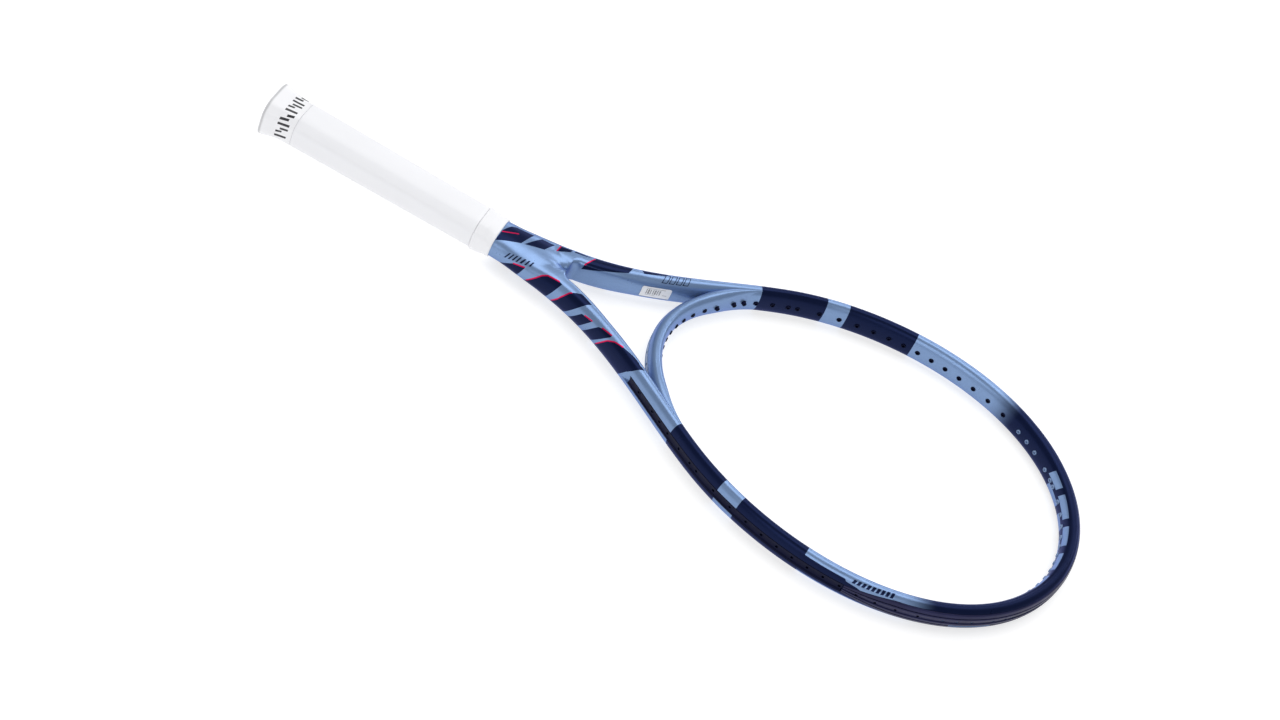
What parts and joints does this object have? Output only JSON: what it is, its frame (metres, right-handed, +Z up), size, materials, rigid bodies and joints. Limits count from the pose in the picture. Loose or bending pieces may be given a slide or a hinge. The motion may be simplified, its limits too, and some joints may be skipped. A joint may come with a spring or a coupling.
{
  "type": "tennis racket",
  "caption": "Unstrung tennis racket: hollow hoop, open throat with a bridge, and an eight-sided cushioned handle with a flared butt.",
  "frame": {"origin": "centre of the flat butt end plate, on the racket's long centre line", "axes": "+X along the racket from the butt end to the tip, +Y to the left across the hoop, +Z up, square to the string plane; the string plane is Z = 0"},
  "size_m": [0.6861, 0.2624, 0.036],
  "materials": {
    "frame_paint": "satin metallic light blue with navy panels and thin crimson lines",
    "bridge_paint": "satin metallic light blue",
    "guard_plastic": "satin navy",
    "strip_plastic": "satin dark navy",
    "pallet_foam": "moulded foam",
    "cap_plastic": "soft white",
    "staple_steel": "bright",
    "grip_leather": "smooth white synthetic leather",
    "tape": "thin white tape",
    "collar_rubber": "soft white",
    "weight_metal": "plain",
    "sticker_paper": "matte white label"
  },
  "bodies": {
    "root": {"hairpin_frame": "frame_paint", "throat_bridge": "bridge_paint", "head_bumper_guard": "guard_plastic", "side_grommet_strip_left": "strip_plastic", "side_grommet_strip_right": "strip_plastic", "throat_grommet_strip": "strip_plastic", "handle_pallet_top": "pallet_foam", "handle_pallet_bottom": "pallet_foam", "butt_cap": "cap_plastic", "butt_end_plate": "cap_plastic", "butt_cap_staple_left": "staple_steel", "butt_cap_staple_under": "staple_steel", "base_grip": "grip_leather", "finishing_tape": "tape", "grip_collar": "collar_rubber", "leg_foam_plug_left": "pallet_foam", "leg_foam_plug_right": "pallet_foam", "balance_weight": "weight_metal", "price_sticker": "sticker_paper"}
  },
  "joints": []
}
